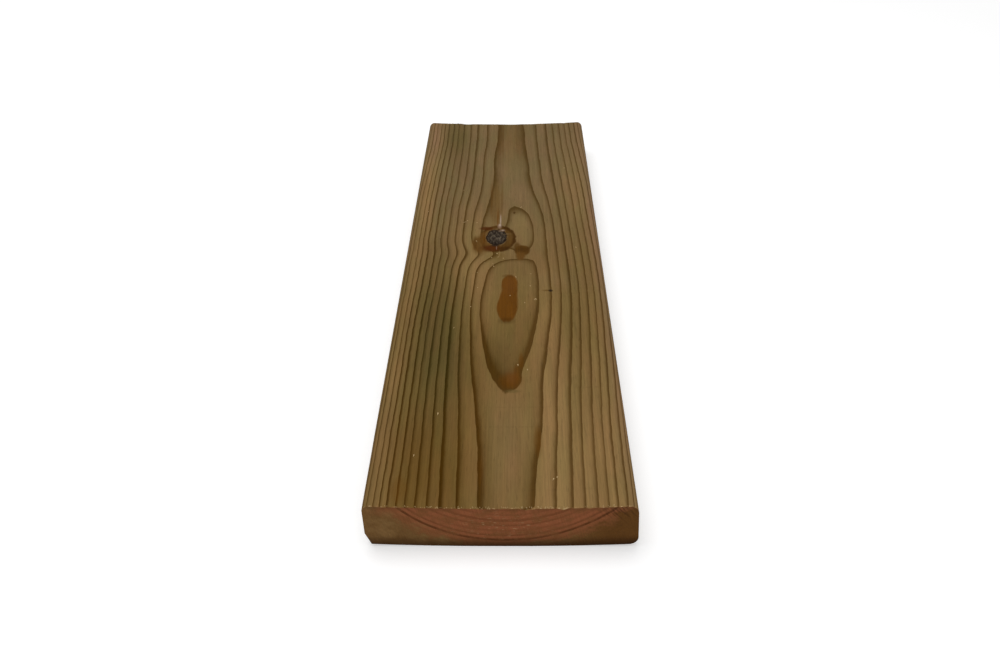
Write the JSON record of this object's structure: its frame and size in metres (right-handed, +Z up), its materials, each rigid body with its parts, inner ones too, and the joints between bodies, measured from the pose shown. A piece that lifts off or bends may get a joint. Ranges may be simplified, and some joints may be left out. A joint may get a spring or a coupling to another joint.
{
  "type": "decking board",
  "caption": "Short smooth planed softwood decking board with rounded long edges, square sawn ends, a knot and a slight cup across its width.",
  "frame": {"origin": "on the floor under the middle of the board, on the flat strip of the belly that it rests on", "axes": "+Y along the board's length and grain, from the end nearest the viewer to the far end; +X across its width; +Z up, out of the walking face"},
  "size_m": [0.146, 0.5, 0.0296],
  "materials": {
    "treated_softwood": "smooth planed, pressure treated softwood in olive brown, unfinished and matt, with reddish heartwood on the sawn ends"
  },
  "bodies": {
    "root": {"decking_board": "treated_softwood"}
  },
  "joints": []
}
